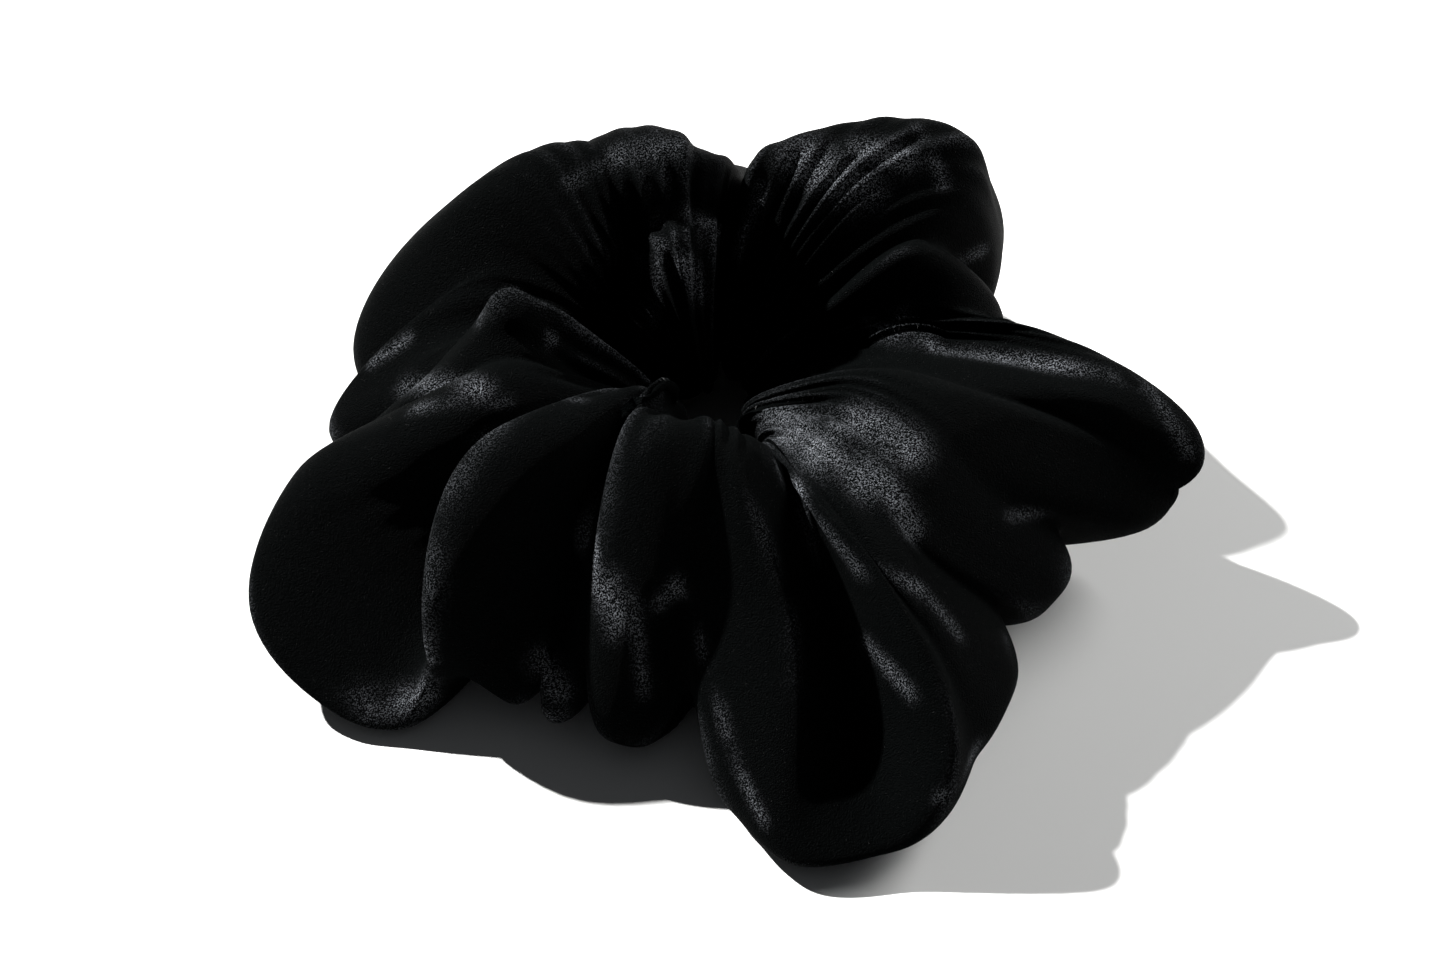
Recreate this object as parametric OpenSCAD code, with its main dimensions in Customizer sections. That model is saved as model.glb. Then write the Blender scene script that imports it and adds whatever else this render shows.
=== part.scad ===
// Gathered velvet hair scrunchie lying on a table: a sewn velvet tube, bunched on a flat elastic ring.
// Origin: on the axis of the ponytail hole, on the table. +Z is up, +X runs to the widest lobe.

/* [Cover] */
// Nominal width across the gathered lobes, along X
cover_w = 120; // [96:1:150]
// Nominal height of the tallest lobe above the table
cover_h = 38; // [30:1:48]
// Nominal radius of the ponytail hole, where the innermost folds stand
hole_r = 8; // [6.5:0.5:10]
// Thickness of the velvet cloth with its pile
cloth_t = 1; // [0.8:0.1:1.2]
// Width of the turned-in seam allowance, measured from the outside of the cloth
seam_allowance = 3.2; // [2.4:0.1:4]

/* [Elastic] */
// Outer diameter of the elastic loop, relaxed
elastic_d = 48; // [38:1:58]
// Width of the flat woven elastic
elastic_w = 6; // [5:0.5:7.5]
// Thickness of the flat woven elastic
elastic_t = 1; // [0.8:0.1:1.3]
// Length over which the two ends of the elastic lie on each other
elastic_overlap = 14; // [10:1:18]

/* [Stitching] */
// Thickness of the sewing thread
thread_d = 0.5; // [0.3:0.1:0.7]
// Distance from one hand stitch to the next on the closed turning gap
stitch_pitch = 3; // [2:0.5:4]
// Number of hand stitches that close the turning gap
closing_stitches = 12; // [8:1:16]

/* [Hidden] */

VELVET = "#0b0c0e";
THREAD = "#141416";
ELASTIC = "#1c1c1f";

// The folds, counter-clockwise from +X, at the nominal size. Each row is one ridge of the gathered cloth. Its
// first five points are [radius, height, angle] at the hole, the inner shoulder, the crest, the outer
// shoulder and the outer edge. Then come the height of its underside, the depth, from 0 to 1, of the crease
// after it, first on top and then outside, and the fullness of its round.
FOLDS = [
    [[5, 13, 13], [20, 20, 11], [41, 22, -1], [52, 20, -4], [58, 15, -7], 8, 0.55, 0.85, 2],
    [[5, 14, 34], [14, 22, 31], [25, 28.5, 27], [32, 25, 26], [34, 15, 27], 0, 0.3, 0.25, 1.4],
    [[6, 14, 48], [22, 28, 41], [35, 31, 34], [39, 24, 31], [39, 12, 30], 0, 0.05, 0.05, 3],
    [[7, 14, 62], [22, 31, 53], [38, 35, 45], [43, 26, 43], [46, 14, 42], 0, 0, 0.05, 3],
    [[7, 13, 83], [16, 27, 79], [26, 34, 74], [36, 22, 71], [46, 10, 69], 0, 0.65, 0.85, 3],
    [[5, 12, 100], [12, 24, 97], [21, 35, 92], [33, 21, 90], [46, 9, 88], 0, 0.05, 0.25, 2.5],
    [[5, 12, 122], [11.5, 27, 116], [23.5, 38, 107], [35, 24, 106], [48, 10, 106], 0, 0.12, 0.2, 3],
    [[6, 13, 146], [15, 24, 142], [31, 33, 138], [41, 25, 148], [47, 12, 160], 0, 0.45, 0.5, 3],
    [[7, 12, 163], [18, 19, 161], [32, 20, 168], [42, 15, 174], [48, 8, 179], 0, 0.5, 0.6, 2.2],
    [[7, 14, 178], [17, 25, 173], [25, 29, 173], [35, 20, 181], [45, 11, 187], 1, 0.5, 0.6, 2.2],
    [[8, 15, 200], [19, 23, 203], [30, 25, 201], [43, 20, 194], [52, 13, 192], 2, 0, 0, 3],
    [[8, 14, 206], [20, 22, 208], [33, 18, 207], [49, 13, 204], [62, 8, 206], 2, 0, 0, 3],
    [[8, 13, 210], [19, 21, 211], [32, 16, 212], [45, 9, 214], [60, 3, 219], 1, 0, 0, 3],
    [[8, 13, 213], [18, 21, 213], [31, 15, 216], [42, 8, 221], [55, 2, 227], 0, 0.25, 0.12, 3],
    [[8, 16, 217], [18, 27, 215], [34, 27, 212], [48, 17, 224], [49, 8, 229], 4, 0.03, 0, 3],
    [[8, 16, 225], [14, 27, 225], [24, 28, 229], [36, 18, 232], [46, 5, 237], 3, 0.35, 0.35, 3],
    [[7, 15, 237], [11, 26, 240], [16, 28, 233], [32, 14, 239], [46, 5, 244], 0, 0.4, 0.4, 2.5],
    [[9, 14, 248], [15, 26, 243], [22, 30, 241], [37, 16, 247], [46, 5, 253], 0, 0, 0, 3],
    [[10, 14, 260], [13.5, 25, 262], [20, 30, 263], [34, 19, 259], [47, 4, 261], 0, 0, 0.35, 2.5],
    [[10, 14, 268], [13.5, 25, 272], [21, 29, 270], [34, 17, 268], [52, 4, 270], 0, 0, 0, 3],
    [[10, 14, 276], [15, 25, 280], [24, 27.5, 277], [38, 18, 282], [58, 4, 275], 0, 0.1, 0, 3],
    [[9, 13, 290], [15, 22, 291], [23, 22.5, 290], [41, 12, 287], [61.5, 3, 279], 0, 0, 0, 3],
    [[9, 13, 296], [19, 20, 295], [33, 15, 292], [48, 8, 291], [62.5, 3, 286], 0, 0, 0, 3],
    [[9, 14, 300], [24, 24, 293], [40, 23, 297], [56, 14, 298], [62, 4, 294], 0, 0.3, 0.05, 2],
    [[8, 13, 308], [20, 24, 303], [33, 24, 300], [43, 19, 305], [52, 7, 311], 0, 0.1, 0.35, 3],
    [[6, 13, 324], [16, 24, 323], [27, 26, 320], [36, 21, 315], [47, 8, 327], 0, 0.05, 0.4, 3],
    [[5, 13, 337], [15, 25, 341], [28, 27, 340], [43, 19, 343], [55, 9, 346], 3, 0.6, 0.1, 2.2]
];
NOMINAL_W = 120;
NOMINAL_H = 38;
NOMINAL_HOLE_R = 8;
ROWS_PER_FOLD = 4;
ROW_PLACES = [0, 0.325, 0.5, 0.675];     // places of the rows between one ridge and the next
LOOP_POINTS = 21;       // points on the outside of each cross-section, the seam's own point included
SEAM_AT = 0.93;         // place of the lengthwise seam on the loop: low, on the side of the hole
SLIT = 0.1;             // half of the gap between the two turned-in edges
END_SEAM_FOLD = 4;      // the end seam lies in the crease after this fold, at the back
CLOSING_ROW = 32;       // row of the cover at which the closed turning gap begins
CLEARANCE = 0.6;        // free space round the elastic
PRESSED = 0.05;         // how far the sewn ends of the elastic sink into each other
THREAD_SIDES = 6;
JOIN_AT = 90;           // place of the elastic's join, as an angle round the hole

scale_r = cover_w / NOMINAL_W;
scale_z = cover_h / NOMINAL_H;
scale_hole = hole_r / NOMINAL_HOLE_R;
elastic_r = elastic_d / 2;
elastic_reach = norm([elastic_w / 2, 1.5 * elastic_t]);
channel_r = elastic_reach + CLEARANCE + seam_allowance;     // outside of the cover at its creases
channel_z = max(0.4 * cover_h, channel_r);
row_count = len(FOLDS) * ROWS_PER_FOLD;

function lerp(a, b, t) = a + (b - a) * t;
function unit(v) = v / norm(v);
function arc_angle(length) = length / elastic_r * 180 / PI;

// The value at f between b and c on the smooth curve through all four
function blend(a, b, c, d, f) =
    0.5 * (2 * b + (c - a) * f + (2 * a - 5 * b + 4 * c - d) * f * f + (3 * b - a - 3 * c + d) * f * f * f);

// A point on the closed smooth curve through the points p, at t from 0 to 1
function on_loop(p, t) =
    let (n = len(p), at = (t - floor(t)) * n, i = floor(at))
    blend(p[(i + n - 1) % n], p[i % n], p[(i + 1) % n], p[(i + 2) % n], at - i);

// The cross-section of a ridge as seven [radius, height, angle]: the five points of its row, then the foot
// and the underside. Near the hole radii follow hole_r, and elsewhere cover_w.
function ridge(k) =
    let (f = FOLDS[(k + len(FOLDS)) % len(FOLDS)], turn = 360 * floor(k / len(FOLDS)),
         hole = f[0], edge = f[4], low = f[5], spread = edge[0] - hole[0])
    [for (p = concat([for (i = [0:4]) f[i]],
        [[hole[0] + 0.8 * spread, low, edge[2]], [hole[0] + 0.35 * spread, low, (hole[2] + edge[2]) / 2]]))
        let (out = (p[0] - hole[0]) / spread)
        [p[0] * lerp(scale_hole, scale_r, out), p[1] * scale_z, p[2] + turn]];

// The seven places of a cross-section as angles round the elastic's channel, and how much each is outside
CHANNEL_ANGLES = [180, 130, 85, 45, 0, -60, -115];
OUTSIDE_SHARE = [0, 0, 0, 0.5, 1, 1, 1];

// Row n of the cover: the smooth course from ridge to ridge, drawn in round the channel towards the crease
function row_section(n) =
    let (k = floor(n / ROWS_PER_FOLD), f = ROW_PLACES[n % ROWS_PER_FOLD], fold = FOLDS[k],
         fullness = f < 0.5 ? fold[8] : FOLDS[(k + 1) % len(FOLDS)][8],
         drawn_in = pow(1 - abs(2 * f - 1), fullness),
         course = blend(ridge(k - 1), ridge(k), ridge(k + 1), ridge(k + 2), f))
    [for (i = [0:6])
        let (w = CHANNEL_ANGLES[i], depth = drawn_in * lerp(fold[6], fold[7], OUTSIDE_SHARE[i]))
        [lerp(course[i][0], elastic_r + channel_r * cos(w), depth),
         lerp(course[i][1], channel_z + channel_r * sin(w), depth), course[i][2]]];

// A point on a row at t, kept on the table and outside the elastic's channel
function clear_point(p) =
    let (away = [p[0] - elastic_r, p[1] - channel_z], d = norm(away), push = max(1, channel_r / d))
    [elastic_r + away[0] * push, max(0, channel_z + away[1] * push), p[2]];
function to_space(p) = [p[0] * cos(p[2]), p[0] * sin(p[2]), p[1]];

sections = [for (n = [0:row_count - 1]) row_section(n)];
grid = [for (s = sections)
    [for (j = [0:LOOP_POINTS - 1]) to_space(clear_point(on_loop(s, SEAM_AT + j / LOOP_POINTS)))]];

function at(n, j) = grid[(n + row_count) % row_count][(j + LOOP_POINTS) % LOOP_POINTS];
function along_loop(n, j) = unit(at(n, j + 1) - at(n, j - 1));
function inward(n, j) = unit(cross(at(n + 1, j) - at(n - 1, j), along_loop(n, j)));

// One row of the cloth wall: outside, one turned-in edge, inside, the other turned-in edge
function wall_row(n) =
    let (s = at(n, 0), t = along_loop(n, 0), w = inward(n, 0), near = SLIT * t, far = (SLIT + cloth_t) * t,
         deep = seam_allowance * w, thick = cloth_t * w)
    concat(
        [s + near],
        [for (j = [1:LOOP_POINTS - 1]) at(n, j)],
        [s - near, s - near + deep, s - far + deep, s - far + thick],
        [for (j = [LOOP_POINTS - 1:-1:1]) at(n, j) + cloth_t * inward(n, j)],
        [s + far + thick, s + far + deep, s + near + deep]
    );

// A closed skin over rows of points; each row is a closed ring, and the rows close on themselves if looped
module skin(rows, looped) {
    n = len(rows);
    m = len(rows[0]);
    last = looped ? n - 1 : n - 2;
    sides = [for (i = [0:last], j = [0:m - 1])
        let (next = (i + 1) % n, a = i * m + j, b = i * m + (j + 1) % m, c = next * m + (j + 1) % m,
             d = next * m + j)
        each [[a, c, b], [a, d, c]]];
    first_cap = [for (j = [1:m - 2]) [0, j, j + 1]];
    e = (n - 1) * m;
    end_cap = [for (j = [1:m - 2]) [e, e + j + 1, e + j]];
    polyhedron(points = [for (r = rows) each r], faces = looped ? sides : concat(sides, first_cap, end_cap));
}

// Round thread along points; side is a direction that the thread never runs along
module thread(points, side, looped = false) {
    n = len(points);
    rows = [for (i = [0:n - 1])
        let (before = points[looped ? (i + n - 1) % n : max(i - 1, 0)],
             after = points[looped ? (i + 1) % n : min(i + 1, n - 1)],
             run = unit(after - before), u = unit(cross(run, side)), v = cross(run, u))
        [for (q = [0:THREAD_SIDES - 1])
            let (w = 360 * q / THREAD_SIDES) points[i] + thread_d / 2 * (cos(w) * u + sin(w) * v)]];
    skin(rows, looped);
}

module velvet_cover() {
    color(VELVET) skin([for (n = [0:row_count - 1]) wall_row(n)], true);
}

// Machine seam that holds the two turned-in edges together, halfway into the allowance
module lengthwise_seam_thread() {
    depth = (cloth_t + seam_allowance) / 2;
    color(THREAD)
        thread([for (n = [0:row_count - 1]) at(n, 0) + depth * inward(n, 0)], [0, 0, 1], true);
}

// Place on the seam, as a row of the cover with its fraction, that lies left mm of cloth beyond row i
function seam_row(i, left) =
    let (step = norm(at(i + 1, 0) - at(i, 0)))
    left <= step ? i + left / step : seam_row(i + 1, left - step);

// Hand stitches across the closed turning gap, lying on the outside of the seam
module closing_stitches_thread() {
    half_stitch = 1.2;
    color(THREAD)
        for (k = [0:closing_stitches - 1])
            let (n = seam_row(CLOSING_ROW, k * stitch_pitch), i = floor(n),
                 s = lerp(at(i, 0), at(i + 1, 0), n - i),
                 t = along_loop(i, 0), w = inward(i, 0), run = unit(at(i + 1, 0) - at(i, 0)),
                 bite = 0.6 * cloth_t * w, proud = -0.2 * thread_d * w)
            thread([s - half_stitch * t + bite, s - 0.7 * half_stitch * t + proud,
                    s + 0.7 * half_stitch * t + proud, s + half_stitch * t + bite], run);
}

// Stitch line that joins the two ends of the tube, round the cover in one crease
module end_seam_thread() {
    n = END_SEAM_FOLD * ROWS_PER_FOLD + ROWS_PER_FOLD / 2;
    a = sections[n][0][2];
    color(THREAD)
        thread([for (j = [1:LOOP_POINTS - 1]) at(n, j) + cloth_t / 4 * inward(n, j)], [-sin(a), cos(a), 0]);
}

// Woven elastic, one turn with its two ends lying on each other
module elastic_band() {
    overlap_angle = arc_angle(elastic_overlap);
    color(ELASTIC) union() {
        rotate_extrude($fn = 96)
            translate([elastic_r - elastic_t, channel_z - elastic_w / 2]) square([elastic_t, elastic_w]);
        rotate(JOIN_AT - overlap_angle / 2) rotate_extrude(angle = overlap_angle, $fn = 96)
            translate([elastic_r - PRESSED, channel_z - elastic_w / 2])
                square([elastic_t + PRESSED, elastic_w]);
    }
}

// Two columns of stitches through both ends of the elastic
module elastic_join_stitches() {
    outside = elastic_r + elastic_t;
    inside = elastic_r - elastic_t;
    stitch_length = 0.3 * elastic_overlap;
    color(THREAD)
        for (side = [-1, 1], row = [-2:2])
            let (middle = JOIN_AT + side * arc_angle(0.28 * elastic_overlap),
                 half = arc_angle(stitch_length / 2),
                 z = channel_z + row * elastic_w / 6)
            thread([for (c = [[outside, -half], [outside, half], [inside, half], [inside, -half]])
                to_space([c[0], z, middle + c[1]])], [0, 0, 1], true);
}

velvet_cover();
lengthwise_seam_thread();
closing_stitches_thread();
end_seam_thread();
elastic_band();
elastic_join_stitches();
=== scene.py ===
"""Gathered velvet scrunchie: the looks of each piece, and the stage that it is seen on."""

import math

import bpy
import numpy as np
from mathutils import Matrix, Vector


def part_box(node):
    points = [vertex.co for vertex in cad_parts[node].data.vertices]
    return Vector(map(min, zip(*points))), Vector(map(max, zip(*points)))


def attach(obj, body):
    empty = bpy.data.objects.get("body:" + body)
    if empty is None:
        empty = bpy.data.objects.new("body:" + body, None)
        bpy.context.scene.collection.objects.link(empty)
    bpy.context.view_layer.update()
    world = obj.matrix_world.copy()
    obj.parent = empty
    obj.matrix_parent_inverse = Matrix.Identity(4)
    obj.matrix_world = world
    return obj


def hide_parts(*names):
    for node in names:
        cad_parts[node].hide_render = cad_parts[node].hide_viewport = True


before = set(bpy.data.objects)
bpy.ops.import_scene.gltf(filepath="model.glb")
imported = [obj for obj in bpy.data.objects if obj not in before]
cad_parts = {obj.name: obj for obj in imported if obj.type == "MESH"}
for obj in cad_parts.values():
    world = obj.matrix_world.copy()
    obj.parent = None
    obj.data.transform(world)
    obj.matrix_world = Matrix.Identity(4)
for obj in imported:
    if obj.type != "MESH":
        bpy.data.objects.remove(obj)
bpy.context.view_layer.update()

bl_info = {
    "name": "Velvet scrunchie",
    "version": (1, 0, 0),
    "blender": (4, 5, 0),
    "location": "3D View > Sidebar > Scrunchie",
    "description": "Builds a gathered velvet scrunchie with its elastic, stitches and pile",
    "category": "Object",
}

MM = 0.001
COVER_BODY = "cover"
ELASTIC_BODY = "elastic"

# The folds, counter-clockwise from +X, in mm and degrees. Each has five points (radius, height, angle): at
# the hole, the inner shoulder, the crest, the outer shoulder and the outer edge. Then come the height of
# its underside, the depth from 0 to 1 of the crease after it, on top and outside, and how full it is.
FOLDS = [
    # the long petal to the right
    (((3, 13, 20), (20, 20, 11), (41, 22, -1), (52, 20, -4), (58, 15, -7)), 8, (0.55, 0.85), 2.0),
    # the tall lobe at the back right
    (((4, 14, 42), (14, 22, 31), (25, 28.5, 27), (32, 25, 26), (34, 15, 27)), 0, (0.30, 0.25), 1.4),
    (((6, 14, 48), (22, 28, 41), (35, 31, 34), (39, 24, 31), (39, 12, 30)), 0, (0.05, 0.05), 3.0),
    (((7, 14, 62), (22, 31, 53), (38, 35, 45), (43, 26, 43), (46, 14, 42)), 0, (0.0, 0.05), 3.0),
    (((7, 13, 83), (16, 27, 79), (26, 34, 74), (36, 22, 71), (46, 10, 69)), 0, (0.65, 0.85), 3.0),
    # the lobe at the back left, with a smaller fold curling over inside it
    (((5, 12, 100), (12, 24, 97), (21, 35, 92), (33, 21, 90), (46, 9, 88)), 0, (0.05, 0.25), 2.5),
    (((5, 12, 122), (11.5, 27, 116), (23.5, 38, 107), (35, 24, 106), (48, 10, 106)), 0, (0.12, 0.20), 3.0),
    (((6, 13, 146), (15, 24, 142), (31, 33, 138), (41, 25, 148), (47, 12, 160)), 0, (0.45, 0.50), 3.0),
    # two thin folds at the left
    (((7, 12, 163), (18, 19, 161), (32, 20, 168), (42, 15, 174), (48, 8, 179)), 0, (0.50, 0.60), 2.2),
    (((7, 14, 178), (17, 25, 173), (25, 29, 173), (35, 20, 181), (45, 11, 187)), 1, (0.50, 0.60), 2.2),
    # the broad cupped fold at the front left
    (((8, 15, 200), (19, 23, 203), (30, 25, 201), (43, 20, 194), (52, 13, 192)), 2, (0.0, 0.0), 3.0),
    (((8, 14, 206), (20, 22, 208), (33, 18, 207), (49, 13, 204), (62, 8, 206)), 2, (0.0, 0.0), 3.0),
    (((8, 13, 210), (19, 21, 211), (32, 16, 212), (45, 9, 214), (60, 3, 219)), 1, (0.0, 0.0), 3.0),
    (((8, 13, 213), (18, 21, 213), (31, 15, 216), (42, 8, 221), (55, 2, 227)), 0, (0.25, 0.12), 3.0),
    # the plate beside it
    (((8, 16, 217), (18, 27, 215), (34, 27, 212), (48, 17, 224), (49, 8, 229)), 4, (0.03, 0.0), 3.0),
    (((8, 16, 225), (14, 27, 225), (24, 28, 229), (36, 18, 232), (46, 5, 237)), 3, (0.35, 0.35), 3.0),
    # a small sunk fold
    (((7, 15, 237), (11, 26, 240), (16, 28, 233), (32, 14, 239), (46, 5, 244)), 0, (0.40, 0.40), 2.5),
    # the pillar in the front centre, hollow between its two legs
    (((9, 14, 248), (15, 26, 243), (22, 30, 241), (37, 16, 247), (46, 5, 253)), 0, (0.0, 0.0), 3.0),
    (((10, 14, 260), (13.5, 25, 262), (20, 30, 263), (34, 19, 259), (47, 4, 261)), 0, (0.0, 0.35), 2.5),
    (((10, 14, 268), (13.5, 25, 272), (21, 29, 270), (34, 17, 268), (52, 4, 270)), 0, (0.0, 0.0), 3.0),
    (((10, 14, 276), (15, 25, 280), (24, 27.5, 277), (38, 18, 282), (58, 4, 275)), 0, (0.10, 0.0), 3.0),
    # the biggest lobe, at the front right, with a scooped face and a lip along its far side
    (((9, 13, 290), (15, 22, 291), (23, 22.5, 290), (41, 12, 287), (61.5, 3, 279)), 0, (0.0, 0.0), 3.0),
    (((9, 13, 296), (19, 20, 295), (33, 15, 292), (48, 8, 291), (62.5, 3, 286)), 0, (0.0, 0.0), 3.0),
    (((9, 14, 300), (24, 24, 293), (40, 23, 297), (56, 14, 298), (62, 4, 294)), 0, (0.30, 0.05), 2.0),
    (((8, 13, 308), (20, 24, 303), (33, 24, 300), (43, 19, 305), (52, 7, 311)), 0, (0.10, 0.35), 3.0),
    # the tucked folds under the petal
    (((4, 13, 315), (16, 24, 323), (27, 26, 320), (36, 21, 315), (47, 8, 327)), 0, (0.05, 0.40), 3.0),
    (((3, 13, 335), (15, 25, 341), (28, 27, 340), (43, 19, 343), (55, 9, 346)), 3, (0.60, 0.10), 2.2),
]

# Local swellings and hollows: the two ends of each, how far it reaches to the side, and the push, all in mm
TOUCHES = [
    # the curl inside the back left lobe, with the grooves round it
    ((-4, 13, 20), (-4, 14, 25), 5.0, (0.3, -1.6, 0.8)),
    ((-8.5, 15.8, 31), (0.5, 17.7, 31.5), 2.6, (0, 1.5, -3.2)),
    ((-9, 15, 30), (-11, 11, 24), 2.4, (-1, 1, -1.8)),
    ((-11, 11, 24), (-9, 7, 15), 2.4, (-1.5, 1.2, -1)),
    # the ears of the thin fold at the left and of the small sunk fold
    ((-27, 3, 28), (-25, 5, 29), 2.4, (0, 0.5, 2.2)),
    ((-7, -10, 27), (-5, -9, 26), 2.0, (0, 0.5, 2.4)),
    # the hollow between the pillar's legs
    ((-5, -36, 12), (-4, -47, 2), 3.8, (0, 7, 1)),
]

# Painted highlights: streaks where a grey highlight is painted into the velvet's colour. The two ends of a
# streak, its reach in mm, its strength
PAINTED_GLINT_STREAKS = [
    # the tucked folds and the lip under the petal
    ((7, -6, 17), (12, -17, 25), 2.6, 1.0),
    ((12, -17, 25), (17, -22, 25), 2.4, 1.0),
    ((18, -21, 25), (22, -27, 22), 1.4, 0.9),
    ((14, -13, 26), (22, -18, 26), 2.2, 1.0),
    ((8, -8, 20), (16, -13, 26), 1.4, 0.6),
    ((7, -19, 24), (12, -27, 23), 0.8, 1.0),
    ((12, -27, 23), (16, -33, 22), 0.8, 1.0),
    ((16, -33, 22), (23, -35, 20), 0.9, 0.9),
    ((23, -35, 20), (28, -38, 16), 0.8, 0.6),
    ((17, -39, 15), (22, -45, 14), 0.9, 0.9),
    # the tall lobe at the back right
    ((10, 23, 33), (17, 18, 32), 2.4, 1.0),
    ((17, 23, 34), (23, 22, 34), 1.6, 0.8),
    ((5, 20, 31), (2, 14, 26), 0.9, 0.6),
    ((24, 26, 35), (27, 20, 32), 0.8, 0.6),
    ((32, 18, 22), (22, 7, 22), 1.0, 0.7),
    # the petal
    ((18, 7, 21), (26, 2, 22), 0.7, 1.0),
    ((26, 2, 22), (40, -1, 22), 0.9, 0.9),
    ((40, -1, 22), (51, -3, 20), 0.9, 0.9),
    ((51, -3, 20), (56, -10, 16), 0.8, 0.7),
    ((34, -21, 17), (49, -9, 8), 0.7, 0.5),
    # the lobe at the back left and its curl
    ((-12, 21, 35), (-4, 21, 37), 1.6, 0.8),
    ((-18, 19, 33), (-12, 21, 35), 0.9, 0.6),
    ((-8, 16, 29), (-4, 16, 31), 0.8, 0.9),
    ((-4, 16, 31), (0, 16, 28), 0.8, 0.8),
    ((-7, 12, 29), (-8, 7, 21), 0.7, 0.7),
    ((-4, 10, 28), (-2, 9, 24), 1.3, 1.0),
    # the pillar in the front centre
    ((-15, -20, 28), (-15, -26, 22), 0.6, 1.0),
    ((-15, -26, 22), (-14, -33, 17), 0.8, 1.0),
    ((-13, -33, 18), (-12, -36, 16), 1.8, 0.9),
    ((-7, -34, 17), (-5, -33, 19), 0.9, 1.0),
    ((-5, -33, 19), (-2, -38, 13), 0.7, 1.0),
    ((-1, -43, 12), (2, -50, 7), 0.7, 0.8),
    ((2, -50, 7), (5, -57, 5), 0.6, 0.6),
    ((-10, -13, 28), (-7, -11, 28), 0.8, 0.7),
    ((-10, -34, 18), (-9, -41, 9), 0.8, 0.5),
    # the plate beside it
    ((-30, -14, 26), (-32, -20, 24), 0.6, 0.9),
    ((-32, -20, 24), (-34, -34, 17), 0.6, 0.9),
    ((-34, -34, 17), (-34, -37, 10), 0.8, 0.9),
    ((-21, -36, 9), (-19, -39, 7), 1.4, 0.8),
    # the cupped fold at the front left
    ((-41, -38, 3), (-35, -38, 5), 2.0, 0.8),
    ((-47, -35, 2), (-41, -38, 3), 0.9, 0.6),
    ((-38, 1, 16), (-28, -9, 26), 1.3, 0.9),
    ((-36, -9, 23), (-25, -10, 25), 0.8, 0.7),
    ((-29, -13, 22), (-16, -13, 29), 0.6, 0.5),
    # the two thin folds at the left
    ((-28, 2, 27), (-25, 10, 23), 0.9, 1.0),
    ((-25, 10, 23), (-20, -1, 26), 0.8, 0.9),
    ((-42, 6, 15), (-38, 7, 18), 0.7, 0.8),
    # the far side of the biggest lobe
    ((25, -56, 8), (30, -47, 7), 0.7, 0.5),
    ((33, -34, 10), (34, -39, 6), 0.7, 0.6),
]

# The cover drawn in round the elastic: the channel's centre and outside, and seven places round it
CHANNEL_R, CHANNEL_Z, CHANNEL_OUTSIDE = 24.0, 15.2, 7.1
CHANNEL_ANGLES = (180, 130, 85, 45, 0, -60, -115)
CLOSED_GAP = (0.28, 0.37)  # where the hand-closed turning gap lies, as shares of the way round
SEAM_AT = 0.93  # place of the lengthwise seam on a cross-section, from the hole side and upwards
GATHER_DEPTH = 0.28  # of the fine wrinkles beside the elastic, in mm
THREAD_NAME = "black_spun_thread"
MACHINE_STITCH, MACHINE_GAP, MACHINE_LIFT = 2.0, 0.5, 0.18  # a stitch's length, gap and rise, in mm
HAND_STITCH = ((-1.2, -0.5), (-0.8, 0.2), (0.8, 0.2), (1.2, -0.5))  # across and off the seam, in mm
MACHINE_THREAD_RADIUS, HAND_THREAD_RADIUS, JOIN_THREAD_RADIUS = 0.14, 0.2, 0.15  # in mm
ELASTIC_THICKNESS, ELASTIC_OVERLAP, ELASTIC_RIBS, RIB_DEPTH = 1.0, 14.0, 11, 0.14  # lengths in mm
JOIN_STITCHES_APART, JOIN_STITCH_LENGTH = 7.8, 4.2  # on the elastic's overlapping ends, in mm
FLOOR_SIDE = 6000  # in mm
SUN_FROM = (-0.64, 0.54, 0.545)  # direction of the main light
FILL_AT = (0.72, 0.55, 0.38)  # place of the weak second light, in metres
CAMERA_HEIGHT, CAMERA_DISTANCE = math.radians(48), 0.56  # above the surface, and in metres


def linear(hex_colour):
    """A linear RGBA colour from an sRGB hex one."""
    parts = [int(hex_colour[i : i + 2], 16) / 255 for i in (1, 3, 5)]
    return tuple(c / 12.92 if c <= 0.04045 else ((c + 0.055) / 1.055) ** 2.4 for c in parts) + (1.0,)


# ---------------------------------------------------------------- shape of the cover


def blend(a, b, c, d, f):
    """The point at f between b and c on the smooth curve through all four."""
    return 0.5 * (2 * b + (c - a) * f + (2 * a - 5 * b + 4 * c - d) * f**2 + (3 * b - a - 3 * c + d) * f**3)


def on_loop(points, count):
    """count points, evenly spaced by parameter, on the closed smooth curve through points."""
    n = len(points)
    at = np.arange(count) / count * n
    i = at.astype(int)
    f = (at - i)[:, None]
    a, b, c, d = (points[(i + k) % n] for k in (-1, 0, 1, 2))
    return blend(a, b, c, d, f)


def ridge(fold):
    """The seven points of a fold's cross-section: its own five, the foot and the underside."""
    points, low = fold[0], fold[1]
    hole, edge = points[0], points[-1]
    spread = edge[0] - hole[0]
    foot = (hole[0] + 0.8 * spread, low, edge[2])
    under = (hole[0] + 0.35 * spread, low, (hole[2] + edge[2]) / 2)
    return np.array([*points, foot, under], float)


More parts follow.
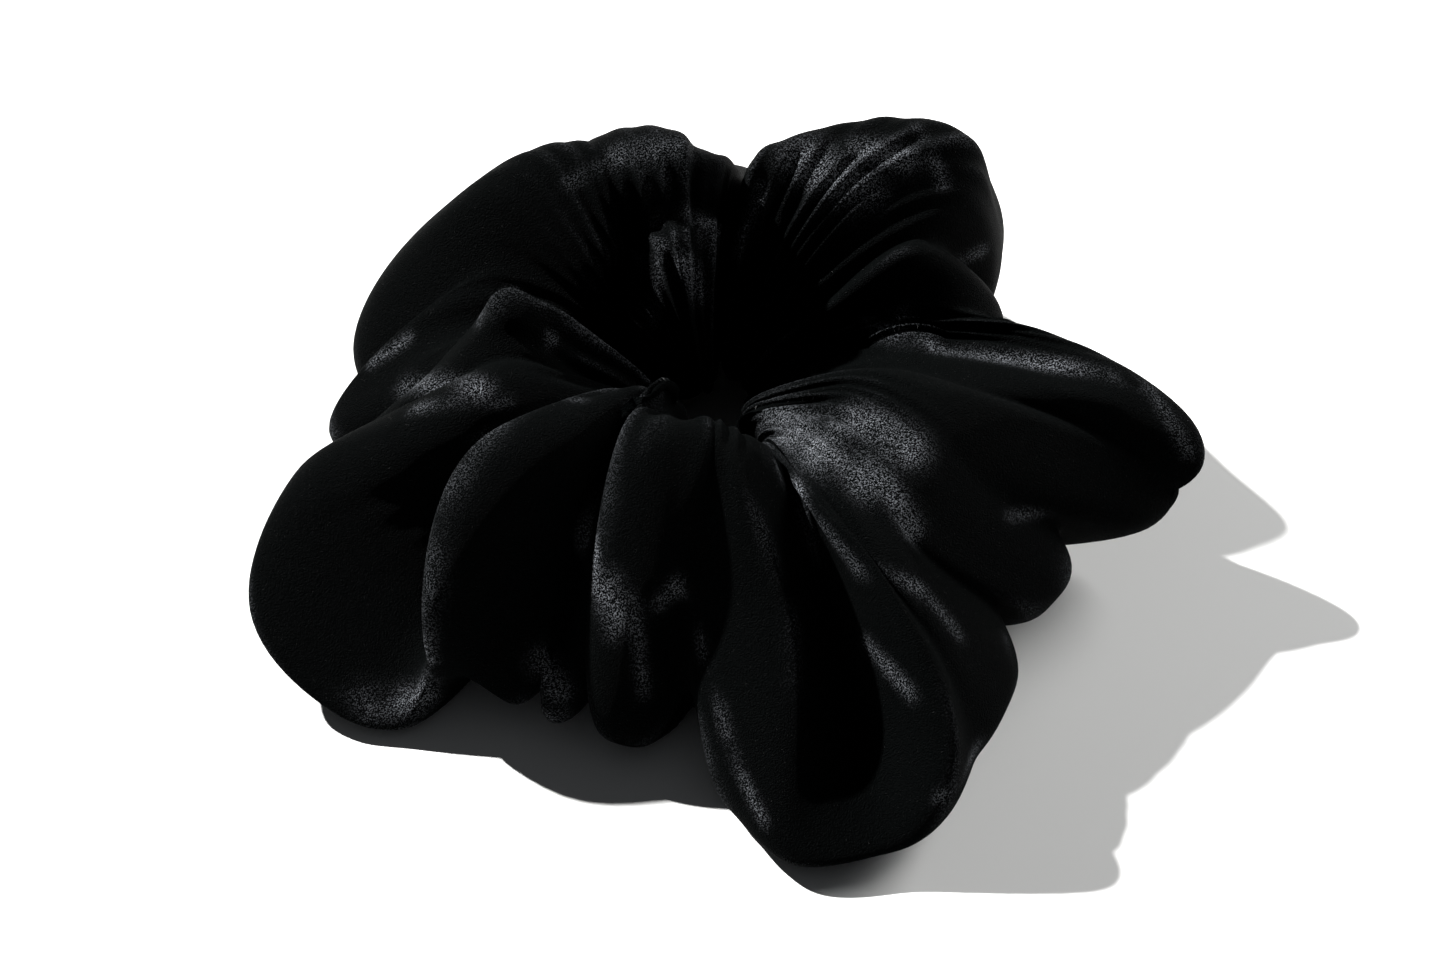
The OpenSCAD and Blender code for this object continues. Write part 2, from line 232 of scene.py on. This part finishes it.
def cover_rows(per_fold=120):
    """Cross-sections of the whole cover as (radius, height, angle), from fold to fold."""
    turn = np.radians(CHANNEL_ANGLES)
    ring = np.stack([np.cos(turn), np.sin(turn)], 1) * CHANNEL_OUTSIDE + (CHANNEL_R, CHANNEL_Z)
    ridges = [ridge(f) for f in FOLDS]
    count = len(ridges)
    rows = []
    for k, (_, _, (top, outside), full) in enumerate(FOLDS):
        near = [ridges[i % count] + (0, 0, 360 * (i // count)) for i in range(k - 1, k + 3)]
        share = np.array([top, top, top, (top + outside) / 2, outside, outside, outside])[:, None]
        for f in np.arange(per_fold) / per_fold:
            row = blend(*near, f)
            fullness = full if f < 0.5 else FOLDS[(k + 1) % count][3]
            drawn_in = share * (1 - abs(2 * f - 1)) ** fullness
            row[:, :2] += (ring - row[:, :2]) * drawn_in
            rows.append(row)
    return rows


def smooth(grid, axis, times):
    """Evens out a closed grid of points along one of its two directions."""
    for _ in range(times):
        grid = 0.5 * grid + 0.25 * (np.roll(grid, 1, axis) + np.roll(grid, -1, axis))
    return grid


def evenly(grid, count):
    """count rows of a closed grid, at equal steps of cloth."""
    steps = np.linalg.norm(np.roll(grid, -1, 0) - grid, axis=-1)
    steps = np.median(steps, 1) + 0.3 * steps.mean(1)
    along = np.concatenate([[0], np.cumsum(steps)])
    wanted = np.arange(count) / count * along[-1]
    k = np.clip(np.searchsorted(along, wanted, side="right") - 1, 0, len(grid) - 1)
    f = ((wanted - along[k]) / steps[k])[:, None, None]
    return grid[k] * (1 - f) + grid[(k + 1) % len(grid)] * f


def normals_of(grid):
    """Outward unit normals of a closed grid."""
    n = np.cross(np.roll(grid, -1, 0) - np.roll(grid, 1, 0), np.roll(grid, -1, 1) - np.roll(grid, 1, 1))
    return -n / np.maximum(np.linalg.norm(n, axis=-1, keepdims=True), 1e-12)


def near_line(points, start, end, reach):
    """From 1 on the line between start and end, down to 0 beyond reach from it."""
    start, along = np.array(start, float), np.subtract(end, start)
    share = np.clip((points - start) @ along / (along @ along), 0, 1)
    apart = np.linalg.norm(points - start - share[..., None] * along, axis=-1)
    return np.exp(-((apart / reach) ** 2))


def gathers(rows, columns, seed=7):
    """Fine wrinkles, in mm, that run outwards from the hole and fade before the outer edge."""
    draw = np.random.default_rng(seed)
    along = np.arange(rows)[:, None] / rows * 2 * math.pi
    around = np.arange(columns)[None, :] / columns * 2 * math.pi
    height = 0
    for waves, bunches in ((43, 5), (67, 7), (95, 9)):
        start, sway, bunch = draw.uniform(0, 2 * math.pi, 3)
        course = waves * along + start + 2.2 * np.sin(around + sway)
        height = height + np.sin(course) * (0.5 + 0.5 * np.sin(bunches * along + bunch + around))
    from_hole = np.minimum(abs(around - 0.9), 2 * math.pi - abs(around - 0.9))
    return GATHER_DEPTH * height * np.exp(-((from_hole / 1.1) ** 2))


def cover_grid(rows, columns):
    """The outside of the cover as a closed grid of points in mm: rows along the strip, columns round it."""
    grid = np.array([on_loop(r, columns) for r in cover_rows()])
    away = grid[..., :2] - (CHANNEL_R, CHANNEL_Z)
    away *= np.maximum(1, CHANNEL_OUTSIDE / np.linalg.norm(away, axis=-1, keepdims=True))
    radius = CHANNEL_R + away[..., 0]
    turn = np.radians(grid[..., 2])
    points = np.stack([radius * np.cos(turn), radius * np.sin(turn), CHANNEL_Z + away[..., 1]], -1)
    points = smooth(evenly(points, rows), 0, max(1, rows // 140))
    for start, end, reach, push in TOUCHES:
        points = points + near_line(points, start, end, reach)[..., None] * np.array(push)
    points = points + gathers(rows, columns)[..., None] * normals_of(points)
    points[..., 2] = np.maximum(points[..., 2], 0)
    return points


def painted_highlight_of(points):
    """How much painted highlight, from 0 to 1, each point of a closed grid gets: some on sharp convex
    ridges, full along the listed streaks.
    """
    rounded = smooth(smooth(points, 0, 5), 1, 5)
    out = ((points - rounded) * normals_of(points)).sum(-1)
    # painted highlight on sharp convex ridges
    painted_share = 0.3 * smooth(smooth(np.clip(out / 0.14 - 1, 0, 1), 0, 1), 1, 1)
    # painted highlight along each of the listed streaks
    for start, end, reach, strength in PAINTED_GLINT_STREAKS:
        painted_share = np.maximum(painted_share, strength * near_line(points, start, end, reach))
    return painted_share


def grid_faces(rows, columns, first=0, flip=False):
    """Quads over a grid that closes on itself both ways."""
    i, j = np.meshgrid(np.arange(rows), np.arange(columns), indexing="ij")
    a, b = i * columns + j, ((i + 1) % rows) * columns + j
    c, d = ((i + 1) % rows) * columns + (j + 1) % columns, i * columns + (j + 1) % columns
    quads = np.stack([a, d, c, b] if flip else [a, b, c, d], -1).reshape(-1, 4)
    return quads + first


def mesh_object(name, points, faces):
    """A shaded-smooth mesh object from points in mm."""
    mesh = bpy.data.meshes.new(name)
    mesh.from_pydata((np.asarray(points).reshape(-1, 3) * MM).tolist(), [], np.asarray(faces).tolist())
    mesh.polygons.foreach_set("use_smooth", [True] * len(mesh.polygons))
    mesh.update()
    obj = bpy.data.objects.new(name, mesh)
    bpy.context.scene.collection.objects.link(obj)
    return obj


# ---------------------------------------------------------------- materials


def new_material(name):
    """An empty node material with its Principled shader."""
    material = bpy.data.materials.new(name)
    material.use_nodes = True
    return material, material.node_tree.nodes["Principled BSDF"]


def node(tree, kind, links=None, **settings):
    """Adds a node, with its settings and the sockets or values that go into it."""
    made = tree.nodes.new(kind)
    for key, value in settings.items():
        setattr(made, key, value)
    for socket, value in (links or {}).items():
        if isinstance(value, bpy.types.NodeSocket):
            tree.links.new(value, made.inputs[socket])
        else:
            made.inputs[socket].default_value = value
    return made


def velvet_material(colour):
    """Black pile velvet: it swallows light, and a grey, speckled highlight is painted into its colour on
    sharp ridges and along the listed streaks.
    """
    material, shader = new_material("black_pile_velvet")
    tree = material.node_tree
    place = node(tree, "ShaderNodeTexCoord").outputs["Object"]
    # the painted highlight's share, stored on the cloth's points
    painted_highlight = node(tree, "ShaderNodeAttribute", attribute_name="painted_highlight").outputs["Fac"]
    tufts = node(tree, "ShaderNodeTexNoise", {"Vector": place, "Scale": 5200, "Detail": 2}).outputs["Fac"]
    # noise that breaks the painted highlight into patches
    highlight_patch_noise = node(tree, "ShaderNodeTexNoise", {"Vector": place, "Scale": 110, "Detail": 3}).outputs["Fac"]
    patchy = node(tree, "ShaderNodeMapRange", {"Value": highlight_patch_noise, "From Min": 0.3, "From Max": 0.6}).outputs[0]
    painted_highlight_patches = node(tree, "ShaderNodeMath", {0: painted_highlight, 1: patchy}, operation="MULTIPLY").outputs[0]
    speck = node(tree, "ShaderNodeMapRange", {"Value": tufts, "From Min": 0.48, "From Max": 0.64}).outputs[0]
    painted_highlight_specks = node(tree, "ShaderNodeMath", {0: painted_highlight_patches, 1: speck}, operation="MULTIPLY").outputs[0]
    # the grey of the painted highlight, mixed into the velvet's own near-black colour
    colours = {"Factor": painted_highlight_specks, 6: colour, 7: linear("#84878c")}
    mixed = node(tree, "ShaderNodeMix", colours, data_type="RGBA").outputs[2]
    tree.links.new(mixed, shader.inputs["Base Color"])
    rough = node(tree, "ShaderNodeMapRange", {"Value": painted_highlight_patches, "To Min": 0.62, "To Max": 0.42}).outputs[0]
    tree.links.new(rough, shader.inputs["Roughness"])
    bump = node(tree, "ShaderNodeBump", {"Height": tufts, "Strength": 1.0, "Distance": 0.0004})
    tree.links.new(bump.outputs[0], shader.inputs["Normal"])
    shader.inputs["Specular IOR Level"].default_value = 0.008
    shader.inputs["Sheen Weight"].default_value = 0.003
    shader.inputs["Sheen Roughness"].default_value = 0.3
    return material


def pile_material():
    """The free tips of the pile: black, with the faint shine of rayon that makes single tufts sparkle."""
    material, shader = new_material("black_pile_tips")
    shader.inputs["Base Color"].default_value = linear("#060707")
    shader.inputs["Roughness"].default_value = 0.45
    shader.inputs["Specular IOR Level"].default_value = 0.25
    return material


def plain_material(name, colour, roughness, sheen=0.0):
    """One even colour, as on spun thread."""
    material, shader = new_material(name)
    shader.inputs["Base Color"].default_value = linear(colour)
    shader.inputs["Roughness"].default_value = roughness
    shader.inputs["Sheen Weight"].default_value = sheen
    return material


# ---------------------------------------------------------------- threads and pile


def geometry_tree(name, inputs):
    """A geometry node group with a geometry input, the named inputs and a geometry output."""
    tree = bpy.data.node_groups.new(name, "GeometryNodeTree")
    tree.interface.new_socket("Geometry", in_out="OUTPUT", socket_type="NodeSocketGeometry")
    tree.interface.new_socket("Geometry", in_out="INPUT", socket_type="NodeSocketGeometry")
    for label, kind in inputs.items():
        tree.interface.new_socket(label, in_out="INPUT", socket_type="NodeSocket" + kind)
    return tree, node(tree, "NodeGroupInput").outputs


def close_tree(tree, geometry, material):
    """Ends the tree: real geometry, its material, the output."""
    real = node(tree, "GeometryNodeRealizeInstances", {"Geometry": geometry}).outputs[0]
    dressed = node(tree, "GeometryNodeSetMaterial", {"Geometry": real, "Material": material}).outputs[0]
    node(tree, "NodeGroupOutput", {"Geometry": dressed})


def thread_tree(material):
    """Round capped thread along every line of the input."""
    tree, given = geometry_tree("round_thread", {"Radius": "Float"})
    line = node(tree, "GeometryNodeMeshToCurve", {"Mesh": given["Geometry"]}).outputs[0]
    section = {"Resolution": 8, "Radius": given["Radius"]}
    ring = node(tree, "GeometryNodeCurvePrimitiveCircle", section).outputs[0]
    profile = {"Curve": line, "Profile Curve": ring, "Fill Caps": True}
    close_tree(tree, node(tree, "GeometryNodeCurveToMesh", profile).outputs[0], material)
    return tree


def pile_tree(material):
    """Thin closed spikes standing on the input's faces, each leaning a little its own way."""
    tree, given = geometry_tree("velvet_pile", {"Density": "Float", "Length": "Float", "Seed": "Int"})
    spread = node(
        tree,
        "GeometryNodeDistributePointsOnFaces",
        {"Mesh": given["Geometry"], "Density": given["Density"], "Seed": given["Seed"]},
    )
    spike = node(
        tree, "GeometryNodeMeshCone", {"Vertices": 3, "Radius Bottom": 0.000028, "Depth": given["Length"]}
    ).outputs["Mesh"]
    lean = node(
        tree,
        "FunctionNodeRandomValue",
        {0: (-0.5, -0.5, 0.0), 1: (0.5, 0.5, 6.28), "Seed": given["Seed"]},
        data_type="FLOAT_VECTOR",
    ).outputs[0]
    turned = node(
        tree, "FunctionNodeRotateRotation", {0: spread.outputs["Rotation"], 1: lean}, rotation_space="LOCAL"
    ).outputs[0]
    size = node(
        tree, "FunctionNodeRandomValue", {2: 0.6, 3: 1.2, "Seed": given["Seed"]}, data_type="FLOAT"
    ).outputs[1]
    placed = {"Points": spread.outputs["Points"], "Instance": spike, "Rotation": turned, "Scale": size}
    close_tree(tree, node(tree, "GeometryNodeInstanceOnPoints", placed).outputs[0], material)
    return tree


def grown(name, source, tree, values):
    """A plain mesh object from a source object and a geometry tree, with its inputs set."""
    modifier = source.modifiers.new(name, "NODES")
    modifier.node_group = tree
    for item in tree.interface.items_tree:
        if item.item_type == "SOCKET" and item.in_out == "INPUT" and item.name in values:
            modifier[item.identifier] = values[item.name]
    shown = source.evaluated_get(bpy.context.evaluated_depsgraph_get())
    mesh = bpy.data.meshes.new_from_object(shown)
    source.modifiers.remove(modifier)
    obj = bpy.data.objects.new(name, mesh)
    bpy.context.scene.collection.objects.link(obj)
    return obj


def thread_object(name, lines, radius, replaced, body):
    """Stitches along lines of points in mm, as one piece that takes the place of a CAD node."""
    points, edges = [], []
    for line in lines:
        edges += [(len(points) + k, len(points) + k + 1) for k in range(len(line) - 1)]
        points += [tuple(float(c) * MM for c in p) for p in line]
    mesh = bpy.data.meshes.new(name + "_lines")
    mesh.from_pydata(points, edges, [])
    source = bpy.data.objects.new(name + "_lines", mesh)
    bpy.context.scene.collection.objects.link(source)
    material = bpy.data.materials.get(THREAD_NAME) or plain_material(THREAD_NAME, "#0c0c0e", 0.8)
    stitches = grown(name, source, thread_tree(material), {"Radius": radius * MM})
    bpy.data.objects.remove(source)
    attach(stitches, body)
    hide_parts(replaced)
    return stitches


def dashes(line, normals):
    """Cuts a closed line into machine stitches that rise from the cloth and dip back into it."""
    line, normals = np.vstack([line, line[:1]]), np.vstack([normals, normals[:1]])
    steps = np.linalg.norm(np.diff(line, axis=0), axis=1)
    along = np.concatenate([[0], np.cumsum(steps)])
    places = np.arange(0.0, along[-1] - MACHINE_STITCH, MACHINE_STITCH + MACHINE_GAP)
    cut = []
    for start in places:
        at = start + MACHINE_STITCH * np.array([0.0, 0.2, 0.5, 0.8, 1.0])
        point = np.stack([np.interp(at, along, line[:, c]) for c in range(3)], 1)
        up = np.stack([np.interp(at, along, normals[:, c]) for c in range(3)], 1)
        cut.append(point + up * (np.array([-0.3, 0.6, 1.0, 0.6, -0.3]) * MACHINE_LIFT)[:, None])
    return cut


# ---------------------------------------------------------------- operators


class ScrunchieLook(bpy.types.PropertyGroup):
    """What a person would change about the scrunchie's looks."""

    velvet_colour: bpy.props.FloatVectorProperty(
        name="Velvet colour",
        description="Colour of the velvet between its glints",
        subtype="COLOR",
        size=4,
        min=0.0,
        max=1.0,
        default=linear("#020303"),
    )
    cloth_thickness: bpy.props.FloatProperty(
        name="Cloth thickness", description="Ground cloth with its pile", default=0.001, unit="LENGTH"
    )
    rows: bpy.props.IntProperty(name="Rows", description="Cross-sections of the cover", default=540)
    columns: bpy.props.IntProperty(name="Columns", description="Points round a cross-section", default=144)
    pile_pieces: bpy.props.IntProperty(
        name="Pile pieces", description="Pieces that the pile is split into", default=4
    )
    pile_density: bpy.props.FloatProperty(
        name="Pile density", description="Tufts on a square metre, in each piece", default=1500000.0
    )
    pile_length: bpy.props.FloatProperty(
        name="Pile length", description="Height of the pile above the cloth", default=0.0008, unit="LENGTH"
    )


class OBJECT_OT_velvet_cover(bpy.types.Operator):
    """Make the gathered velvet cover"""

    bl_idname = "object.velvet_cover"
    bl_label = "Velvet cover"

    def execute(self, context):
        look = context.scene.scrunchie_look
        rows, columns = look.rows, look.columns
        outside = cover_grid(rows, columns)
        inside = outside[::2, ::2] - look.cloth_thickness / MM * normals_of(outside)[::2, ::2]
        inside[..., 2] = np.maximum(inside[..., 2], look.cloth_thickness / MM)
        points = np.concatenate([outside.reshape(-1, 3), inside.reshape(-1, 3)])
        faces = np.concatenate(
            [grid_faces(rows, columns), grid_faces(rows // 2, columns // 2, rows * columns, flip=True)]
        )
        cover = mesh_object("velvet_cover_cloth", points, faces)
        # painted highlight share on the outer points, none on the inside
        painted_highlight = cover.data.attributes.new("painted_highlight", "FLOAT", "POINT")
        painted_highlight_values = painted_highlight_of(outside)
        painted_highlight.data.foreach_set("value", np.concatenate([painted_highlight_values.ravel(), np.zeros(inside[..., 0].size)]))
        cover.data.materials.append(velvet_material(tuple(look.velvet_colour)))
        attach(cover, COVER_BODY)
        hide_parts("velvet_cover")
        source = mesh_object("pile_source", outside, grid_faces(rows, columns))
        tree = pile_tree(pile_material())
        for number in range(1, look.pile_pieces + 1):
            values = {"Density": look.pile_density, "Length": look.pile_length, "Seed": number}
            tuft = grown(f"velvet_pile_{number}", source, tree, values)
            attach(tuft, COVER_BODY)
        bpy.data.objects.remove(source)
        return {"FINISHED"}


class OBJECT_OT_cover_threads(bpy.types.Operator):
    """Sew the cover: its lengthwise seam, the joined ends and the closed turning gap"""

    bl_idname = "object.cover_threads"
    bl_label = "Cover threads"

    def execute(self, context):
        look = context.scene.scrunchie_look
        cloth = cover_grid(look.rows, look.columns)
        out = normals_of(cloth)
        seam = round(SEAM_AT * look.columns)
        line, up = cloth[:, seam], out[:, seam]
        closed = slice(*(round(share * look.rows) for share in CLOSED_GAP))
        name, replaced = "lengthwise_seam_stitches", "lengthwise_seam_thread"
        thread_object(name, dashes(line, up), MACHINE_THREAD_RADIUS, replaced, COVER_BODY)
        across = np.roll(cloth, -2, 1)[:, seam] - np.roll(cloth, 2, 1)[:, seam]
        across /= np.linalg.norm(across, axis=1, keepdims=True)
        by_hand = []
        for row in range(closed.start, closed.stop, 4):
            p, t, n = line[row], across[row], up[row]
            by_hand.append([p + a * t + b * n for a, b in HAND_STITCH])
        name, replaced = "closing_hand_stitches", "closing_stitches_thread"
        thread_object(name, by_hand, HAND_THREAD_RADIUS, replaced, COVER_BODY)
        back = range(round(0.1 * look.rows), round(0.25 * look.rows))
        row = min(back, key=lambda r: cloth[r, :, 2].max())
        joined = dashes(cloth[row], out[row])
        thread_object("end_seam_stitches", joined, MACHINE_THREAD_RADIUS, "end_seam_thread", COVER_BODY)
        return {"FINISHED"}


class OBJECT_OT_woven_elastic(bpy.types.Operator):
    """Make the flat woven elastic"""

    bl_idname = "object.woven_elastic"
    bl_label = "Woven elastic"

    def execute(self, context):
        low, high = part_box("elastic_band")
        width, middle = (high.z - low.z) / MM, (high.z + low.z) / 2 / MM
        outer, thick, ribs = -low.y / MM, ELASTIC_THICKNESS, ELASTIC_RIBS
        overlap = ELASTIC_OVERLAP / outer
        count = 360
        turn = np.linspace(-overlap, 2 * math.pi, count) + math.pi / 2 + overlap / 2
        lifted = np.clip((turn - turn[-1] + overlap * 1.5) / (overlap * 0.5), 0, 1)
        radius = outer - thick / 2 + thick * lifted * lifted * (3 - 2 * lifted)
        across = np.linspace(0, 1, 6 * ribs + 1)
        relief = thick / 2 - RIB_DEPTH + RIB_DEPTH * np.abs(np.sin(math.pi * ribs * across))
        edge = np.concatenate([np.stack([relief, across], 1), np.stack([-relief, across], 1)[::-1]])
        r = radius[:, None] + edge[None, :, 0]
        z = np.broadcast_to(middle + (edge[:, 1] - 0.5) * width, r.shape)
        points = np.stack([r * np.cos(turn)[:, None], r * np.sin(turn)[:, None], z], -1)
        n = len(edge)
        i, j = np.meshgrid(np.arange(count - 1), np.arange(n), indexing="ij")
        sides = np.stack([i * n + j, (i + 1) * n + j, (i + 1) * n + (j + 1) % n, i * n + (j + 1) % n], -1)
        faces = [list(f) for f in sides.reshape(-1, 4)[:, ::-1]]
        faces.append(list(range(n)))
        faces.append(list(range((count - 1) * n, count * n))[::-1])
        band = mesh_object("woven_elastic_band", points, [])
        band.data.clear_geometry()
        band.data.from_pydata((points.reshape(-1, 3) * MM).tolist(), [], faces)
        band.data.materials.append(plain_material("black_woven_elastic", "#17171a", 0.7, 0.3))
        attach(band, ELASTIC_BODY)
        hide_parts("elastic_band")
        bars = []
        outside, inside = outer + thick + 0.1, outer - thick - 0.1
        for side in (-1, 1):
            at = math.pi / 2 + side * JOIN_STITCHES_APART / outer / 2
            half = JOIN_STITCH_LENGTH / outer / 2
            for row in range(-2, 3):
                z = middle + row * width / 6
                corners = ((outside, -half), (outside, half), (inside, half), (inside, -half))
                loop = (*corners, corners[0])
                bars.append([(r * math.cos(at + a), r * math.sin(at + a), z) for r, a in loop])
        thread_object("elastic_join_bars", bars, JOIN_THREAD_RADIUS, "elastic_join_stitches", ELASTIC_BODY)
        return {"FINISHED"}


class OBJECT_OT_scrunchie_stage(bpy.types.Operator):
    """Make the floor, the light and the camera"""

    bl_idname = "object.scrunchie_stage"
    bl_label = "Stage"

    def execute(self, context):
        half = FLOOR_SIDE / 2
        corners = [(-half, -half, 0), (half, -half, 0), (half, half, 0), (-half, half, 0)]
        floor = mesh_object("floor", corners, [(0, 1, 2, 3)])
        floor.location.z = -0.0001  # just under the cloth, so that the two don't flicker
        floor.data.materials.append(plain_material("white_paper", "#f2f2f0", 0.9))
        sun = bpy.data.objects.new("sun", bpy.data.lights.new("sun", "SUN"))
        sun.data.energy = 12.0
        sun.data.angle = math.radians(1.5)
        sun.rotation_euler = Vector(SUN_FROM).to_track_quat("Z", "Y").to_euler()
        fill = bpy.data.objects.new("fill", bpy.data.lights.new("fill", "AREA"))
        fill.data.energy = 12.5
        fill.data.size = 0.5
        fill.location = FILL_AT
        fill.rotation_euler = Vector(fill.location).to_track_quat("Z", "Y").to_euler()
        world = bpy.data.worlds.new("soft_room")
        world.use_nodes = True
        world.node_tree.nodes["Background"].inputs["Color"].default_value = linear("#e8ecf2")
        world.node_tree.nodes["Background"].inputs["Strength"].default_value = 0.05
        context.scene.world = world
        camera = bpy.data.objects.new("camera", bpy.data.cameras.new("camera"))
        camera.data.lens = 113.0
        camera.data.sensor_width = 36.0
        aim = Vector((0.0003, 0.0, 0.0))
        towards = Vector((0, -math.cos(CAMERA_HEIGHT), math.sin(CAMERA_HEIGHT)))
        camera.location = aim + CAMERA_DISTANCE * towards
        camera.rotation_euler = (math.pi / 2 - CAMERA_HEIGHT, 0, 0)
        for obj in (sun, fill, camera):
            context.scene.collection.objects.link(obj)
        context.scene.camera = camera
        context.scene.view_settings.view_transform = "Standard"
        return {"FINISHED"}


class VIEW3D_PT_scrunchie(bpy.types.Panel):
    """The scrunchie's settings and its builders"""

    bl_label = "Velvet scrunchie"
    bl_space_type = "VIEW_3D"
    bl_region_type = "UI"
    bl_category = "Scrunchie"

    def draw(self, context):
        look = context.scene.scrunchie_look
        for name in look.bl_rna.properties.keys():
            if name in ScrunchieLook.__annotations__:
                self.layout.prop(look, name)
        for builder in BUILDERS:
            self.layout.operator(builder.bl_idname)


BUILDERS = (
    OBJECT_OT_woven_elastic,
    OBJECT_OT_velvet_cover,
    OBJECT_OT_cover_threads,
    OBJECT_OT_scrunchie_stage,
)
CLASSES = (ScrunchieLook, *BUILDERS, VIEW3D_PT_scrunchie)


def register():
    """Adds the classes and the scene's settings."""
    for c in CLASSES:
        bpy.utils.register_class(c)
    bpy.types.Scene.scrunchie_look = bpy.props.PointerProperty(type=ScrunchieLook)


def unregister():
    """Takes them away again."""
    del bpy.types.Scene.scrunchie_look
    for c in reversed(CLASSES):
        bpy.utils.unregister_class(c)


def main():
    """Builds every piece and the stage."""
    register()
    bpy.ops.object.woven_elastic()
    bpy.ops.object.velvet_cover()
    bpy.ops.object.cover_threads()
    bpy.ops.object.scrunchie_stage()


if __name__ == "__main__":
    main()
